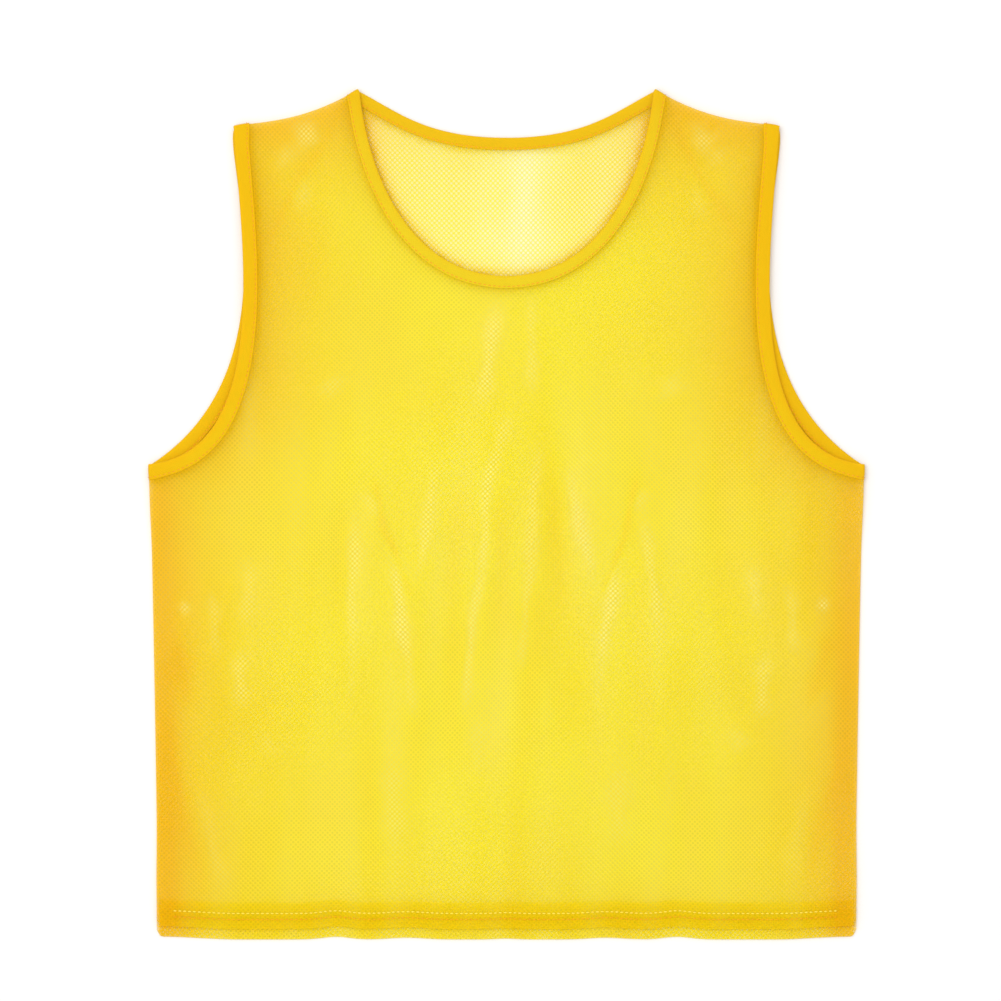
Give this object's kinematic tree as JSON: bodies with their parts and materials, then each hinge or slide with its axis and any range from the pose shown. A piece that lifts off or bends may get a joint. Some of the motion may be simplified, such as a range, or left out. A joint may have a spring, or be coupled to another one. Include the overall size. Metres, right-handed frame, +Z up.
{
  "type": "mesh training bib",
  "caption": "Sleeveless training bib of open yellow mesh, laid flat, with bound round neck, bound armholes and a turned-up hem.",
  "frame": {"origin": "middle of the footprint, on the surface that the back panel lies on", "axes": "+Z up out of the front of the bib, +Y from the hem to the neck, +X to the right of someone looking down at the front"},
  "size_m": [0.549, 0.65, 0.0079],
  "materials": {
    "mesh": "knitted polyester mesh with small diamond-set holes, soft sheen",
    "binding": "folded polyester strip, matt, twin stitched"
  },
  "bodies": {
    "root": {"front_panel": "mesh", "back_panel": "mesh", "neck_binding": "binding", "armhole_binding_left": "binding", "armhole_binding_right": "binding"}
  },
  "joints": []
}
